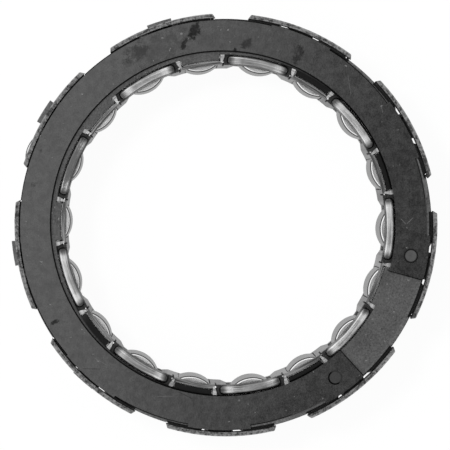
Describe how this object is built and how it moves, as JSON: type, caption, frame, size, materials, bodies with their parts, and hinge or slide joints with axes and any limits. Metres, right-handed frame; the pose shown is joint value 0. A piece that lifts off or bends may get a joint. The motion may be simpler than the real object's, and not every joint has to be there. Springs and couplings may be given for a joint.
{
  "type": "needle roller bearing",
  "caption": "Flat ring of short steel rollers in a sheet-steel cage, without races; it runs between a shaft and a housing bore.",
  "frame": {"origin": "on the ring's axis, at the rear face that the ring lies on", "axes": "+Z along the ring's axis towards the front wear strip; +X across the ring, +Y up in the picture"},
  "size_m": [0.0969, 0.0961, 0.0189],
  "materials": {
    "phosphated_sheet": "matte",
    "black_oxide_strip": "satin",
    "bright_sheet": "satin",
    "roller_steel": "satin",
    "rivet_steel": "satin"
  },
  "bodies": {
    "cage": {"outer_shell": "phosphated_sheet", "inner_retainer": "bright_sheet", "front_side_plate": "phosphated_sheet", "rear_side_plate": "phosphated_sheet", "front_wear_strip": "black_oxide_strip", "rear_wear_strip": "black_oxide_strip", "front_rivets": "rivet_steel", "rear_rivets": "rivet_steel"},
    "roller_01": {"roller_01": "roller_steel"},
    "roller_02": {"roller_02": "roller_steel"},
    "roller_03": {"roller_03": "roller_steel"},
    "roller_04": {"roller_04": "roller_steel"},
    "roller_05": {"roller_05": "roller_steel"},
    "roller_06": {"roller_06": "roller_steel"},
    "roller_07": {"roller_07": "roller_steel"},
    "roller_08": {"roller_08": "roller_steel"},
    "roller_09": {"roller_09": "roller_steel"},
    "roller_10": {"roller_10": "roller_steel"},
    "roller_11": {"roller_11": "roller_steel"},
    "roller_12": {"roller_12": "roller_steel"},
    "roller_13": {"roller_13": "roller_steel"},
    "roller_14": {"roller_14": "roller_steel"},
    "roller_15": {"roller_15": "roller_steel"},
    "roller_16": {"roller_16": "roller_steel"},
    "roller_17": {"roller_17": "roller_steel"},
    "roller_18": {"roller_18": "roller_steel"}
  },
  "joints": [
    {"name": "roller_01_spin", "type": "hinge", "parent": "cage", "child": "roller_01", "pos_m": [0.0391, 0.01323, 0.00945], "axis": [0, 0, 1], "continuous": true},
    {"name": "roller_02_spin", "type": "hinge", "parent": "cage", "child": "roller_02", "pos_m": [0.03221, 0.02581, 0.00945], "axis": [0, 0, 1], "continuous": true},
    {"name": "roller_03_spin", "type": "hinge", "parent": "cage", "child": "roller_03", "pos_m": [0.02144, 0.03527, 0.00945], "axis": [0, 0, 1], "continuous": true},
    {"name": "roller_04_spin", "type": "hinge", "parent": "cage", "child": "roller_04", "pos_m": [0.00809, 0.04047, 0.00945], "axis": [0, 0, 1], "continuous": true},
    {"name": "roller_05_spin", "type": "hinge", "parent": "cage", "child": "roller_05", "pos_m": [-0.00624, 0.0408, 0.00945], "axis": [0, 0, 1], "continuous": true},
    {"name": "roller_06_spin", "type": "hinge", "parent": "cage", "child": "roller_06", "pos_m": [-0.01982, 0.0362, 0.00945], "axis": [0, 0, 1], "continuous": true},
    {"name": "roller_07_spin", "type": "hinge", "parent": "cage", "child": "roller_07", "pos_m": [-0.03101, 0.02724, 0.00945], "axis": [0, 0, 1], "continuous": true},
    {"name": "roller_08_spin", "type": "hinge", "parent": "cage", "child": "roller_08", "pos_m": [-0.03878, 0.01512, 0.00945], "axis": [0, 0, 1], "continuous": true},
    {"name": "roller_09_spin", "type": "hinge", "parent": "cage", "child": "roller_09", "pos_m": [-0.04126, 0.00094, 0.00945], "axis": [0, 0, 1], "continuous": true},
    {"name": "roller_10_spin", "type": "hinge", "parent": "cage", "child": "roller_10", "pos_m": [-0.0391, -0.01323, 0.00945], "axis": [0, 0, 1], "continuous": true},
    {"name": "roller_11_spin", "type": "hinge", "parent": "cage", "child": "roller_11", "pos_m": [-0.03221, -0.02581, 0.00945], "axis": [0, 0, 1], "continuous": true},
    {"name": "roller_12_spin", "type": "hinge", "parent": "cage", "child": "roller_12", "pos_m": [-0.02144, -0.03527, 0.00945], "axis": [0, 0, 1], "continuous": true},
    {"name": "roller_13_spin", "type": "hinge", "parent": "cage", "child": "roller_13", "pos_m": [-0.00809, -0.04047, 0.00945], "axis": [0, 0, 1], "continuous": true},
    {"name": "roller_14_spin", "type": "hinge", "parent": "cage", "child": "roller_14", "pos_m": [0.00624, -0.0408, 0.00945], "axis": [0, 0, 1], "continuous": true},
    {"name": "roller_15_spin", "type": "hinge", "parent": "cage", "child": "roller_15", "pos_m": [0.01982, -0.0362, 0.00945], "axis": [0, 0, 1], "continuous": true},
    {"name": "roller_16_spin", "type": "hinge", "parent": "cage", "child": "roller_16", "pos_m": [0.03101, -0.02724, 0.00945], "axis": [0, 0, 1], "continuous": true},
    {"name": "roller_17_spin", "type": "hinge", "parent": "cage", "child": "roller_17", "pos_m": [0.03846, -0.01499, 0.00945], "axis": [0, 0, 1], "continuous": true},
    {"name": "roller_18_spin", "type": "hinge", "parent": "cage", "child": "roller_18", "pos_m": [0.04126, -0.00094, 0.00945], "axis": [0, 0, 1], "continuous": true}
  ]
}
